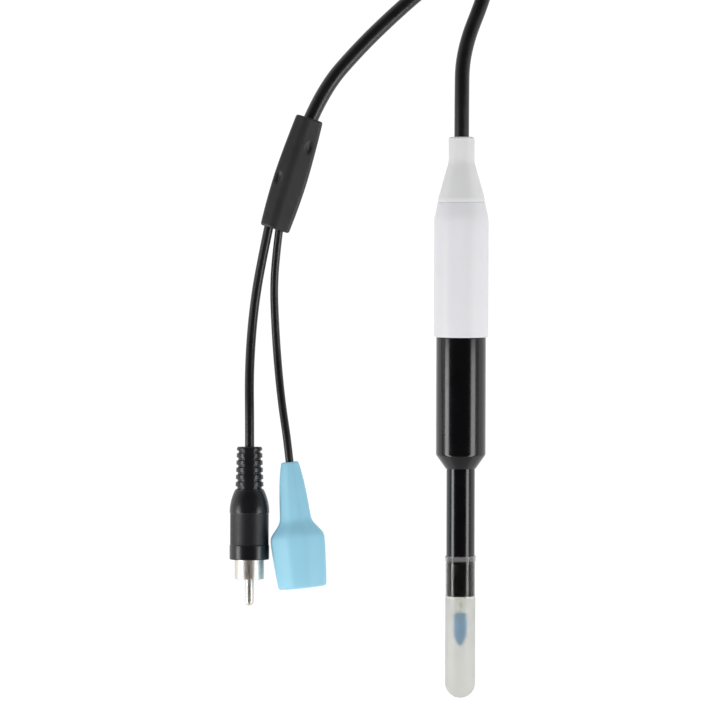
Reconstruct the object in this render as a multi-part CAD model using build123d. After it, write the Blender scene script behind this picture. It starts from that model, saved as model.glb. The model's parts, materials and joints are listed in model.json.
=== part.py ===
from build123d import *
import os
from math import acos, atan2, cos, degrees, hypot, pi, radians, sin, tan

# Combination pH electrode with a fixed cable that splits to a phono plug and a bayonet plug.
# It lies on a surface at z = 0. The electrode's axis runs along Y, its tip towards -Y.
# Heights called _z in the electrode are measured along its axis from the shaft's tip face,
# those in the phono plug from its cover's front face, and those in the bayonet plug from
# the open end of its boot, each upwards towards the cable. All lengths are in millimetres.

# Fits
glue_gap = 0.02
running_gap = 0.05
free_gap = 0.3
overrun = 1.0
soft_edge = 0.2
bend_share = 0.45

# Shaft, and what it holds at the tip
shaft_d = 10.0
shaft_wall = 1.0
shaft_reach = 45.0
shaft_socket = 18.0
tip_seal_length = 5.0
tip_seal_dish = 0.6
upper_seal_length = 6.5
stem_d = 4.0
stem_wall = 0.5
stem_stand_out = 6.0
bulb_d = 4.6
bulb_length = 11.6
bulb_wall = 0.35
bulb_neck = 1.6
bulb_straight_share = 0.45
bulb_end_d = 1.8
wire_d = 0.6
inner_wire_dip = 3.5
junction_d = 1.0
junction_stand_off = 3.0
probe_d = 1.8
probe_wall = 0.25
probe_cover = 1.5
satellite_offset = 3.0
reference_wire_start = 8.0

# Wetting cap
cap_d = 10.6
cap_lap = 13.7
cap_room = 18.1
cap_bead_d = 11.0
cap_bead_length = 1.9
cap_lead_in = 0.2

# Head
head_d = 17.5
head_foot_d = 10.6
cone_length = 4.9
head_length = 46.3
head_edge = 0.4
shaft_stop = 1.3
shaft_stop_lip = 0.6
head_bore_d = 12.0
spigot_d = 15.7
spigot_length = 7.2
o_ring_d = 1.0
o_ring_height = 3.2
groove_slack = 0.15
potting_length = 8.0
wire_stand_up = 4.0

# Upper housing
housing_d = 19.2
housing_length = 47.5
housing_wall = 1.7
housing_top_wall = 4.5
housing_shoulder_length = 6.0
housing_shoulder_d = 16.6
housing_edge = 0.4

# Strain relief
relief_foot_d = 16.4
relief_foot_length = 1.2
relief_neck_d = 9.1
relief_cone_length = 12.9
relief_length = 22.9
relief_blend = 3.0
relief_lip = 0.9
relief_flange_d = 14.0
relief_flange_length = 2.0
relief_spigot_d = 10.0

# Cable and leads
cable_d = 5.2
phono_lead_d = 3.3
bayonet_lead_d = 2.85
core_d = 0.9
core_circle_d = 2.6
jacket_end_below_flange = 9.0
anchor_d = 8.4
anchor_length = 5.0
anchor_step = 0.9
cable_depth = 6.0
mouth_run = 12.0
coil_out_run = 17.0
phono_mouth_run = 10.0
boot_mouth_run = 7.0
crossing_height_share = 1.7
lead_depth = 4.0
splitter_depth = 3.0

# Coil of the cable that is put away
coil_centre = (40.5, 184.0)
coil_turns_across = 2
coil_mean_d = 53.0
coil_start_deg = 180.0
coil_end_deg = -95.0
coil_whole_turns = 3
coil_entry_gap = 1.6
tie_thickness = 0.6
tie_gap = 0.45
tie_width = 8.0
tie_angles_deg = (110.0, -20.0)

# Splitter
splitter_centre = (-59.4, 86.0)
splitter_lean_deg = 17.5
splitter_length = 41.0
splitter_height = 8.0
splitter_top_width = 9.7
splitter_mid_width = 11.9
splitter_foot_width = 10.4
splitter_end_height_share = 0.92
splitter_facet_share = 0.30
splitter_side_share = 0.24
splitter_mid_share = 0.45
dimple_width = 1.5
dimple_length = 3.0
dimple_depth = 0.5
dimple_reach_share = 0.30
dimple_places_share = ((0.25, 0.24), (0.57, -0.40))
splitter_ridge_share = 0.17
splitter_ridge_width = 1.6

# Phono plug
phono_place = (-74.4, -50.2)
phono_cover_d = 14.0
phono_barrel_length = 24.6
phono_shoulder_d = 10.2
phono_edge = 0.5
phono_grip_depth = 0.2
phono_grip_start = 5.3
phono_grip_length = 11.1
phono_relief_length = 15.2
phono_relief_foot_d = 10.0
phono_relief_top_d = 8.9
phono_rib_count = 6
phono_gap_share = 0.44
phono_gap_start_share = 0.08
phono_gap_depth = 0.6
phono_spine_width = 4.4
phono_shell_bore_d = 8.3
phono_shell_wall = 1.05
phono_shell_length = 6.9
phono_shell_seat = 9.0
phono_slot_width = 0.8
phono_slot_length = 5.4
phono_slot_count = 4
phono_slot_turn_deg = 23.0
phono_pin_d = 3.2
phono_pin_reach = 16.2
phono_insulator_front = 1.0
phono_insulator_length = 5.0

# Bayonet plug: boot
boot_mouth = (-60.25, -15.7)
boot_lean_deg = 6.0
boot_length = 44.4
boot_half_width = 9.5
boot_half_height = 8.5
boot_neck_half = 5.4
boot_lip_half = 3.0
boot_length_shares = (0.0, 0.13, 0.33, 0.40, 0.46, 0.535, 0.575, 0.73, 0.86, 0.94, 1.0)
boot_body_width_shares = (0.83, 0.92, 1.0, 1.0, 0.83)
boot_body_height_shares = (0.965, 1.0, 1.0, 1.0, 0.90)
boot_neck_shares = (1.08, 1.0, 0.91, 0.79, 0.67)
boot_facet_share = 0.35
boot_side_share = 0.40
boot_corner_share = 0.22

# Bayonet plug: metal parts
ring_d = 14.4
ring_bore_d = 9.9
ring_recess = 1.0
ring_length = 13.5
ring_chamber_d = 12.4
ring_chamber_start = 9.3
ring_rear_wall = 1.5
ring_slot_width = 2.3
ring_slot_depth = 0.95
ring_slot_length = 6.6
ring_slot_sweep_deg = 62.0
body_front = 2.0
body_sleeve_d = 8.1
body_sleeve_wall = 0.55
body_flange_d = 11.6
body_flange_start = 9.5
body_flange_length = 1.5
body_barrel_d = 8.8
body_length = 17.0
body_slit_width = 0.5
body_slit_length = 5.5
body_slit_count = 4
insulator_d = 4.8
insulator_front = 5.0
insulator_rear = 16.0
plug_pin_d = 1.36
plug_pin_front = 3.2
plug_pin_rear = 17.5
gasket_length = 0.9
washer_thickness = 0.35
washer_rise = 1.3
snap_thickness = 0.8
snap_depth = 0.4
snap_stand_out = 0.7
snap_gap_deg = 40.0
crimp_d = 5.4
crimp_length = 10.0


def turned(outline):
    """A solid of revolution about Z from (radius, height) points."""
    return revolve(Plane.XZ * make_face(Polyline(*outline, close=True)), Axis.Z)


def ring(outer_d, inner_d, low, high):
    """A plain ring between two heights."""
    outer, inner = outer_d / 2, inner_d / 2
    return turned([(inner, low), (outer, low), (outer, high), (inner, high)])


def rod(diameter, low, high, offset=0.0):
    """A round rod along Z between two heights, at an offset along X."""
    height = high - low
    return Pos(offset, 0, low + height / 2) * Cylinder(diameter / 2, height)


def rod_between(diameter, start, end):
    """A round rod from one point to another."""
    line = Line(start, end)
    return sweep(Plane(line @ 0, z_dir=line % 0) * Circle(diameter / 2), path=line)


def rounded_end(outer_d, low, high):
    """A round rod whose lower end is a half ball."""
    radius = outer_d / 2
    ball = Pos(0, 0, low + radius) * Sphere(radius)
    return ball + rod(outer_d, low + radius, high)


# Heights along the electrode
bulb_top = -stem_stand_out
bulb_end = bulb_top - bulb_length
cap_inner_end = bulb_end - cap_room
cap_bore_d = shaft_d + 2 * running_gap
cap_wall = (cap_d - cap_bore_d) / 2
cap_end = cap_inner_end - cap_wall
shaft_top = shaft_reach + shaft_socket
cone_top = shaft_reach + cone_length
head_top = shaft_reach + head_length
spigot_top = head_top + spigot_length
housing_top = head_top + housing_length
relief_top = housing_top + relief_length
cavity_top = housing_top - housing_top_wall
flange_low = cavity_top - glue_gap - relief_flange_length
jacket_low = flange_low - jacket_end_below_flange
potting_low = shaft_top + glue_gap + shaft_stop
wire_top = potting_low + potting_length + wire_stand_up

# How the electrode lies: on the rounded end of its cap and on the lower rim of its housing
cap_ball_z = cap_end + cap_d / 2
rim_z = head_top + housing_edge
rest_span = rim_z - cap_ball_z
rest_reach = hypot(housing_d / 2, rest_span)
lean = acos((cap_d / 2) / rest_reach) - atan2(rest_span, housing_d / 2)
low_y = cap_ball_z * cos(lean) - cap_d / 2
high_y = relief_top * cos(lean) + (relief_neck_d / 2 - relief_lip) * sin(lean)
tip_face_y = -(low_y + high_y) / 2
tip_face_z = cap_d / 2 - cap_ball_z * sin(lean)
electrode_place = Location((0, tip_face_y, tip_face_z), (degrees(lean) - 90, 0, 0))


def on_axis(height):
    """The point of the electrode's axis at a height along it."""
    return Vector(0, tip_face_y + height * cos(lean), tip_face_z + height * sin(lean))


def wetting_cap():
    """Clear tube with a half-ball end and a bead at its rim."""
    outside = rounded_end(cap_d, cap_end, cap_lap)
    bead = ring(cap_bead_d, cap_bore_d, cap_lap - cap_bead_length, cap_lap)
    bead = fillet(bead.edges().filter_by(GeomType.CIRCLE).group_by(SortBy.RADIUS)[-1], soft_edge)
    inside = rounded_end(cap_bore_d, cap_inner_end, cap_lap + overrun)
    mouth_r = cap_bore_d / 2
    mouth = turned([(0, cap_lap - cap_lead_in), (mouth_r, cap_lap - cap_lead_in),
                    (mouth_r + cap_lead_in, cap_lap), (mouth_r + cap_lead_in, cap_lap + overrun),
                    (0, cap_lap + overrun)])
    return outside + bead - inside - mouth


def shaft():
    """Black plastic tube, open at both ends."""
    bore_d = shaft_d - 2 * shaft_wall
    tube = ring(shaft_d, bore_d, 0, shaft_top)
    foot = tube.edges().filter_by(GeomType.CIRCLE).group_by(Axis.Z)[0]
    return chamfer(foot.sort_by(SortBy.RADIUS)[-1], soft_edge)


def ph_bulb():
    """Hollow glass bulb, straight at first and then drawn in to a small round end."""
    def skin(inset):
        radius = bulb_d / 2 - inset
        straight_z = bulb_top - bulb_neck - bulb_length * bulb_straight_share
        tip_z = bulb_end + inset
        start = (0, bulb_top)
        neck = (stem_d / 2 - inset, bulb_top)
        shoulder = (radius, bulb_top - bulb_neck)
        waist = (radius, straight_z)
        tip = (0, tip_z)
        side = Polyline(start, neck, shoulder, waist)
        nose = Spline(waist, (bulb_end_d / 2 - inset / 2, tip_z + bulb_end_d / 2), tip,
                      tangents=((0, -1), (-1, 0)))
        outline = [*side.edges(), *nose.edges(), *Line(tip, start).edges()]
        return revolve(Plane.XZ * make_face(outline), Axis.Z)
    return skin(0) - skin(bulb_wall)


def glass_stem():
    """Glass tube from the bulb up through both seals."""
    return ring(stem_d, stem_d - 2 * stem_wall, bulb_top, shaft_top)


def inner_wire():
    """Silver wire on the stem's axis, from inside the bulb to above the potting."""
    return rod(wire_d, bulb_top - inner_wire_dip, wire_top)


def reference_wire():
    """Silver wire in the space between stem and shaft."""
    return rod(wire_d, reference_wire_start, wire_top, satellite_offset)


def temperature_probe():
    """Steel sleeve with a closed lower end, beside the stem."""
    low = probe_cover + glue_gap
    sleeve = rod(probe_d, low, shaft_top - glue_gap, -satellite_offset)
    return sleeve - rod(probe_d - 2 * probe_wall, low + probe_wall, shaft_top + overrun, -satellite_offset)


def ceramic_junction():
    """Porous ceramic rod let into the tip seal."""
    turn = Rot(0, 0, 90)
    return turn * rod(junction_d, tip_seal_dish, tip_seal_length + junction_stand_off, satellite_offset)


def tip_seal():
    """Plug between shaft and stem, with a pocket for the probe and a hole for the junction."""
    plug_d = shaft_d - 2 * shaft_wall - 2 * glue_gap
    hole_d = stem_d + 2 * glue_gap
    rim = shaft_wall / 2
    face = [(hole_d / 2, tip_seal_dish), (plug_d / 2 - rim, tip_seal_dish), (plug_d / 2, 0),
            (plug_d / 2, tip_seal_length), (hole_d / 2, tip_seal_length)]
    pocket = rod(probe_d + 2 * glue_gap, probe_cover, tip_seal_length + overrun, -satellite_offset)
    vent = rod(junction_d + 2 * glue_gap, -overrun, tip_seal_length + overrun, satellite_offset)
    return turned(face) - pocket - Rot(0, 0, 90) * vent


def upper_stem_seal():
    """Plug at the shaft's upper end, round the stem, the reference wire and the probe."""
    low = shaft_top - upper_seal_length
    plug = ring(shaft_d - 2 * shaft_wall - 2 * glue_gap, stem_d + 2 * glue_gap, low, shaft_top)
    wire_hole = rod(wire_d + 2 * glue_gap, low - overrun, shaft_top + overrun, satellite_offset)
    probe_hole = rod(probe_d + 2 * glue_gap, low - overrun, shaft_top + overrun, -satellite_offset)
    return plug - wire_hole - probe_hole


def head():
    """Black grip: a cone down to the shaft, and a spigot with a seal groove up into the housing."""
    radius, bore_r = head_d / 2, head_bore_d / 2
    socket_r = shaft_d / 2 + glue_gap
    stop_z = shaft_top + glue_gap
    groove_low = head_top + o_ring_height - o_ring_d / 2 - groove_slack
    groove_high = head_top + o_ring_height + o_ring_d / 2 + groove_slack
    groove_r = spigot_d / 2 - o_ring_d - groove_slack / 2
    outline = [
        (socket_r, shaft_reach), (head_foot_d / 2, shaft_reach), (radius, cone_top),
        (radius, head_top - head_edge), (radius - head_edge, head_top), (spigot_d / 2, head_top),
        (spigot_d / 2, groove_low), (groove_r, groove_low), (groove_r, groove_high),
        (spigot_d / 2, groove_high), (spigot_d / 2, spigot_top), (bore_r, spigot_top),
        (bore_r, stop_z + shaft_stop), (socket_r - shaft_stop_lip, stop_z + shaft_stop),
        (socket_r - shaft_stop_lip, stop_z), (socket_r, stop_z),
    ]
    return turned(outline)


def head_o_ring():
    """Round seal in the spigot's groove."""
    centre_r = spigot_d / 2 - o_ring_d / 2
    return Pos(0, 0, head_top + o_ring_height) * Torus(centre_r, o_ring_d / 2)


def potting_plug():
    """Resin that closes the head above the shaft, round the three wires."""
    plug = rod(head_bore_d - 2 * glue_gap, potting_low, potting_low + potting_length)
    for offset, bore in ((0, wire_d), (satellite_offset, wire_d), (-satellite_offset, core_d)):
        plug -= rod(bore + 2 * glue_gap, potting_low - overrun, wire_top, offset)
    return plug


def core_lead(offset, low):
    """One insulated core, from a wire's end to the end of the cable's jacket."""
    share = offset / satellite_offset
    start = (offset, 0, low + glue_gap)
    return rod_between(core_d, start, (share * core_circle_d / 2, 0, jacket_low - glue_gap))


def probe_tail():
    """The probe's own core, straight up through the potting."""
    return rod(core_d, shaft_top + glue_gap, wire_top, -satellite_offset)


def upper_housing():
    """White housing: a tube with a drawn-in shoulder and a top wall that holds the strain relief."""
    radius, bore_r = housing_d / 2, housing_d / 2 - housing_wall
    outline = [
        (bore_r, head_top), (radius - housing_edge, head_top), (radius, rim_z),
        (radius, housing_top - housing_shoulder_length), (housing_shoulder_d / 2, housing_top),
        (relief_spigot_d / 2 + glue_gap, housing_top), (relief_spigot_d / 2 + glue_gap, cavity_top),
        (bore_r, cavity_top),
    ]
    return turned(outline)


def strain_relief():
    """Soft grey moulding: a flange inside the housing, a cone and a neck round the cable."""
    bore_r = cable_d / 2 + glue_gap
    cone_z = housing_top + relief_foot_length
    cone_end = cone_z + relief_cone_length
    outline = Polyline(
        (bore_r, flange_low), (relief_flange_d / 2, flange_low),
        (relief_flange_d / 2, cavity_top - glue_gap), (relief_spigot_d / 2, cavity_top - glue_gap),
        (relief_spigot_d / 2, housing_top), (relief_foot_d / 2, housing_top),
        (relief_foot_d / 2, cone_z), (relief_neck_d / 2, cone_end),
        (relief_neck_d / 2, relief_top), (bore_r, relief_top), close=True)
    face = make_face(outline)

    def corner(radius, height):
        return face.vertices().sort_by_distance((radius, height, 0))[0]

    face = fillet([corner(relief_foot_d / 2, cone_z), corner(relief_neck_d / 2, cone_end)], relief_blend)
    face = fillet(corner(relief_neck_d / 2, relief_top), relief_lip)
    return revolve(Plane.XZ * face, Axis.Z)


def cable_anchor_ring():
    """Crimped ring under the strain relief's flange that keeps the cable from pulling out."""
    inner_r, outer_r = cable_d / 2 + glue_gap, anchor_d / 2
    low, high = flange_low - anchor_length, flange_low
    middle = (low + high) / 2
    waist_r = outer_r - anchor_step / 2
    outline = [(inner_r, low), (outer_r, low), (outer_r, low + anchor_step),
               (waist_r, middle - anchor_step), (waist_r, middle + anchor_step),
               (outer_r, high - anchor_step), (outer_r, high), (inner_r, high)]
    return turned(outline)


def cable_jacket_end():
    """The straight end of the cable, from inside the housing to near the strain relief's mouth."""
    return rod(cable_d, jacket_low, relief_top - cable_depth)


# Routes of the cable and its two leads, each from its own start to its own end
mouth = on_axis(relief_top)
axis_step = on_axis(relief_top) - on_axis(relief_top - 1)
coil_floor = tie_thickness + tie_gap
coil_low_z = coil_floor + cable_d / 2
coil_high_z = coil_low_z + cable_d
coil_outer_r = coil_mean_d / 2 + cable_d / 2
cable_z = cable_d / 2
crossing_z = crossing_height_share * cable_d


def coil_point(angle_deg, radius, height):
    """A point of a turn of the coil."""
    angle = radians(angle_deg)
    return Vector(coil_centre[0] + radius * cos(angle), coil_centre[1] + radius * sin(angle), height)


def coil_heading(angle_deg):
    """The direction of travel round the coil, which is wound clockwise seen from above."""
    return Vector(sin(radians(angle_deg)), -cos(radians(angle_deg)), 0)


coil_in = coil_point(coil_start_deg, coil_outer_r + coil_entry_gap, coil_low_z)
coil_out = coil_point(coil_end_deg, coil_outer_r, coil_high_z)
first_cable_route = [
    mouth - axis_step * cable_depth,
    mouth + axis_step * mouth_run,
    Vector(0.3, 129.0, 9.2),
    Vector(8.6, 150.0, 4.4),
    Vector(10.2, 160.0, cable_z),
    Vector(8.0, 172.0, cable_z),
    coil_in,
]
second_cable_route = [
    coil_out,
    coil_out + coil_heading(coil_end_deg) * coil_out_run,
    Vector(4.0, 159.4, crossing_z),
    Vector(-10.0, 154.2, 5.2),
    Vector(-23.0, 143.2, cable_z),
    Vector(-36.0, 130.6, cable_z),
    Vector(-48.8, 115.8, 3.4),
    Vector(-54.1, 103.0, 4.0),
]
phono_lead_z = phono_lead_d / 2
bayonet_lead_z = bayonet_lead_d / 2
phono_axis_z = phono_cover_d / 2
phono_mouth_y = phono_place[1] + phono_barrel_length + phono_relief_length
phono_mouth = Vector(phono_place[0], phono_mouth_y, phono_axis_z)
boot_heading = Vector(sin(radians(boot_lean_deg)), -cos(radians(boot_lean_deg)), 0)
boot_top = Vector(boot_mouth[0], boot_mouth[1], boot_half_height)
phono_lead_route = [
    Vector(-67.4, 69.4, 4.0),
    Vector(-69.9, 57.5, 2.6),
    Vector(-72.4, 44.0, phono_lead_z),
    Vector(-74.0, 29.5, phono_lead_z),
    Vector(-74.7, 14.2, 3.6),
    phono_mouth + Vector(0, phono_mouth_run, 0),
    phono_mouth - Vector(0, lead_depth, 0),
]
bayonet_lead_route = [
    Vector(-63.9, 68.6, 4.0),
    Vector(-65.3, 57.5, 2.6),
    Vector(-66.1, 46.0, 1.6),
    Vector(-65.6, 32.5, bayonet_lead_z),
    Vector(-64.6, 18.5, 2.0),
    Vector(-63.1, 4.5, 4.8),
    boot_top - boot_heading * boot_mouth_run,
    boot_top + boot_heading * lead_depth,
]


def cord_tube(name, route, diameter):
    """A round tube along straight runs joined by the largest tangent arcs that the runs allow."""
    runs = [end - start for start, end in zip(route, route[1:])]
    radii = []
    for before, after in zip(runs, runs[1:]):
        turn = radians(before.get_angle(after))
        radii.append(bend_share * min(before.length, after.length) / tan(turn / 2))
    path = FilletPolyline(*route, radius=radii)
    tube = sweep(Plane(path @ 0, z_dir=path % 0) * Circle(diameter / 2), path=path)
    filled = tube.volume / (path.length * pi * diameter ** 2 / 4)
    print(f"{name}: length {path.length:.1f}, volume share {filled:.4f}, radii",
          [round(radius) for radius in radii])
    return tube


def cable_coil():
    """The outer shape of the put-away coil: its turns lie two across and two high."""
    band = coil_turns_across * cable_d
    profile = RectangleRounded(band, band, cable_d / 2 - glue_gap)
    section = Pos(coil_mean_d / 2, coil_floor + band / 2) * profile
    return Pos(coil_centre[0], coil_centre[1], 0) * revolve(Plane.XZ * section, Axis.Z)


def coil_ties():
    """Two straps round the coil."""
    band = coil_turns_across * cable_d + 2 * tie_gap
    outer = band + 2 * tie_thickness
    strap_z = outer / 2
    strap = Box(outer, tie_width, outer) - Box(band, 2 * tie_width, band)
    strap = fillet(strap.edges().filter_by(Axis.Y).group_by(Axis.Z)[-1], tie_thickness / 2)
    placed = []
    for angle in tie_angles_deg:
        spot = coil_point(angle, coil_mean_d / 2, strap_z)
        placed.append(Pos(*spot) * Rot(0, 0, angle) * strap)
    return placed[0] + placed[1]


def splitter_section(height, width, tall):
    """A section of the splitter that stands on z = 0, with a low roof whose ridge lies off the middle."""
    half, flat = width / 2, width * splitter_facet_share
    side = tall * splitter_side_share
    middle = splitter_height / 2
    top, foot = middle + tall / 2, middle - tall / 2
    ridge, crest = half * splitter_ridge_share, splitter_ridge_width / 2
    points = [(flat, foot), (half, middle - side), (half, middle + side), (ridge + crest, top),
              (ridge - crest, top), (-half, middle + side), (-half, middle - side), (-flat, foot)]
    across = Plane((0, height, 0), x_dir=(-1, 0, 0), z_dir=(0, 1, 0))
    return across * make_face(Polyline(*points, close=True))


def splitter_bore(start, onward, diameter):
    """A hole along the last stretch of a cable that ends in the splitter."""
    heading = (onward - start).normalized()
    return rod_between(diameter + 2 * running_gap, start, start + heading * (splitter_depth + cable_d))


def cable_splitter():
    """Moulded spindle with flat facets, cut square at both ends."""
    half = splitter_length / 2
    end_tall = splitter_height * splitter_end_height_share
    middle = half - splitter_length * splitter_mid_share
    lower = loft([splitter_section(-half, splitter_foot_width, end_tall),
                  splitter_section(-middle, splitter_mid_width, splitter_height)], ruled=True)
    upper = loft([splitter_section(-middle, splitter_mid_width, splitter_height),
                  splitter_section(half, splitter_top_width, end_tall)], ruled=True)
    body = lower + upper
    dimple_reach = splitter_height * dimple_reach_share
    for along_share, across_share in dimple_places_share:
        along = half - splitter_length * along_share
        across = splitter_mid_width * across_share
        top = splitter_height / 2 + dimple_reach
        oval = Plane((across, along, top)) * SlotOverall(dimple_length, dimple_width, rotation=90)
        body -= extrude(oval, splitter_height)
    place = Location((splitter_centre[0], splitter_centre[1], 0), (0, 0, -splitter_lean_deg))
    body = place * body
    body -= splitter_bore(second_cable_route[-1], second_cable_route[-2], cable_d)
    body -= splitter_bore(phono_lead_route[0], phono_lead_route[1], phono_lead_d)
    body -= splitter_bore(bayonet_lead_route[0], bayonet_lead_route[1], bayonet_lead_d)
    return body


phono_location = Location((phono_place[0], phono_place[1], phono_axis_z), (-90, 0, 0))
phono_shell_d = phono_shell_bore_d + 2 * phono_shell_wall
phono_top = phono_barrel_length + phono_relief_length


def phono_relief_cuts():
    """Shallow notches on both sides of the plug's strain relief, which leave ribs and two plain spines."""
    pitch = phono_relief_length / phono_rib_count
    gap = pitch * phono_gap_share
    cuts = []
    for rib in range(phono_rib_count):
        rise = (rib + phono_gap_start_share) * pitch
        low = phono_barrel_length + rise
        taper = phono_relief_foot_d - phono_relief_top_d
        outer_d = phono_relief_foot_d - taper * (rise + gap / 2) / phono_relief_length
        notch = ring(phono_cover_d, outer_d - 2 * phono_gap_depth, low, low + gap)
        spine = Box(phono_spine_width, phono_cover_d, gap, align=(Align.CENTER, Align.CENTER, Align.MIN))
        cuts.append(notch - Pos(0, 0, low) * spine)
    return cuts


def phono_cover():
    """Black moulding: a barrel with a sunk grip band, a domed shoulder and a ribbed strain relief."""
    radius, shoulder_r = phono_cover_d / 2, phono_shoulder_d / 2
    grip_r, grip_end = radius - phono_grip_depth, phono_grip_start + phono_grip_length
    foot = (0, 0)
    corner = (radius - phono_edge, 0)
    side = (radius, phono_edge)
    grip_low = (radius, phono_grip_start - phono_grip_depth)
    shoulder = (radius, grip_end + phono_grip_depth)
    crown = (shoulder_r, phono_barrel_length)
    relief_foot = (phono_relief_foot_d / 2, phono_barrel_length)
    relief_end = (phono_relief_top_d / 2, phono_top)
    dome = TangentArc(shoulder, crown, tangent=(0, 1))
    barrel = Polyline(foot, corner, side, grip_low, (grip_r, phono_grip_start), (grip_r, grip_end), shoulder)
    outline = [*barrel.edges(), *dome.edges(),
               *Polyline(crown, relief_foot, relief_end, (0, phono_top), foot).edges()]
    cover = revolve(Plane.XZ * make_face(outline), Axis.Z)
    for cut in phono_relief_cuts():
        cover -= cut
    cover -= rod(phono_shell_d + 2 * glue_gap, -overrun, phono_shell_seat + glue_gap)
    return cover - rod(phono_lead_d + 2 * running_gap, 0, phono_top + overrun)


def phono_shell():
    """Slotted spring ring that grips the socket, with a tube back into the cover."""
    shell = ring(phono_shell_d, phono_shell_bore_d, -phono_shell_length, phono_shell_seat)
    outer_rim = shell.edges().filter_by(GeomType.CIRCLE).group_by(Axis.Z)[0].sort_by(SortBy.RADIUS)[-1]
    shell = chamfer(outer_rim, phono_shell_wall / 3)
    slot = Box(phono_slot_width, phono_shell_d, phono_slot_length + overrun,
               align=(Align.CENTER, Align.MIN, Align.MIN))
    for place in range(phono_slot_count):
        turn = phono_slot_turn_deg + place * 360 / phono_slot_count
        shell -= Rot(0, 0, turn) * Pos(0, 0, -phono_shell_length - overrun) * slot
    return shell


def phono_insulator():
    """Disc that holds the pin in the middle of the shell."""
    low = phono_insulator_front
    high = low + phono_insulator_length
    disc = ring(phono_shell_bore_d - 2 * glue_gap, phono_pin_d + 2 * glue_gap, low, high)
    return disc


def phono_pin():
    """Centre pin with a round nose."""
    return rounded_end(phono_pin_d, -phono_pin_reach, phono_shell_seat)


def phono_lead_end():
    """The straight end of the lead inside the plug's cover."""
    return rod(phono_lead_d, phono_shell_seat + glue_gap, phono_top - lead_depth)


boot_end = boot_top + boot_heading * boot_length
boot_location = Location((boot_end.X, boot_end.Y, boot_end.Z)) * Rot(0, 0, boot_lean_deg) * Rot(-90, 0, 0)
ring_rear = ring_recess + ring_length
ring_rear_front = ring_rear - ring_rear_wall
body_rear = body_front + body_length
snap_low = ring_rear + running_gap
snap_high = snap_low + snap_thickness
crimp_top = body_rear + crimp_length


def boot_section(height, half_width, half_height):
    """An eight-sided section of the boot with rounded corners."""
    flat, side = half_width * boot_facet_share, half_height * boot_side_share
    points = [(flat, -half_height), (half_width, -side), (half_width, side), (flat, half_height),
              (-flat, half_height), (-half_width, side), (-half_width, -side), (-flat, -half_height)]
    face = make_face(Polyline(*points, close=True))
    face = fillet(face.vertices(), min(half_width, half_height) * boot_corner_share)
    return Pos(0, 0, height) * face


def bayonet_boot():
    """Soft blue boot: a faceted grip over the coupling ring and a long neck round the lead."""
    sections = []
    halves = [(boot_half_width * wide, boot_half_height * tall)
              for wide, tall in zip(boot_body_width_shares, boot_body_height_shares)]
    halves += [(boot_neck_half * share, boot_neck_half * share) for share in boot_neck_shares]
    halves.append((boot_lip_half, boot_lip_half))
    for length_share, (half_width, half_height) in zip(boot_length_shares, halves):
        sections.append(boot_section(boot_length * length_share, half_width, half_height))
    boot = loft(sections, ruled=True)
    pocket = [
        (0, -overrun), (ring_d / 2 + glue_gap, -overrun), (ring_d / 2 + glue_gap, ring_rear + glue_gap),
        (body_barrel_d / 2 + snap_stand_out + free_gap, ring_rear + glue_gap),
        (body_barrel_d / 2 + snap_stand_out + free_gap, snap_high + free_gap),
        (body_barrel_d / 2 + free_gap, snap_high + free_gap),
        (body_barrel_d / 2 + free_gap, body_rear + free_gap),
        (crimp_d / 2 + free_gap, body_rear + free_gap), (crimp_d / 2 + free_gap, crimp_top + free_gap),
        (bayonet_lead_d / 2 + free_gap, crimp_top + free_gap + crimp_d / 2),
        (bayonet_lead_d / 2 + free_gap, boot_length + overrun), (0, boot_length + overrun),
    ]
    return boot - turned(pocket)


def coupling_ring():
    """Bayonet ring with two L-shaped slots in its bore and a rear wall that turns on the body."""
    bore_r, chamber_r = ring_bore_d / 2, ring_chamber_d / 2
    rear_r = body_barrel_d / 2 + running_gap
    outline = [(bore_r, ring_recess), (ring_d / 2, ring_recess), (ring_d / 2, ring_rear), (rear_r, ring_rear),
               (rear_r, ring_rear_front), (chamber_r, ring_rear_front), (chamber_r, ring_chamber_start),
               (bore_r, ring_chamber_start)]
    coupling = turned(outline)
    slot_r = bore_r + ring_slot_depth
    slot_top = ring_recess + ring_slot_length
    inwards = (Align.CENTER, Align.MIN, Align.MIN)
    entry = Box(ring_slot_width, slot_r, ring_slot_length + overrun, align=inwards)
    entry = Pos(0, 0, ring_recess - overrun) * entry
    leg_face = Polyline((0, slot_top - ring_slot_width), (slot_r, slot_top - ring_slot_width),
                        (slot_r, slot_top), (0, slot_top), close=True)
    leg = revolve(Plane.XZ * make_face(leg_face), Axis.Z, revolution_arc=ring_slot_sweep_deg)
    for turn in (0, 180):
        coupling -= Rot(0, 0, turn) * entry
        coupling -= Rot(0, 0, turn + 90) * leg
    return coupling


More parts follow.
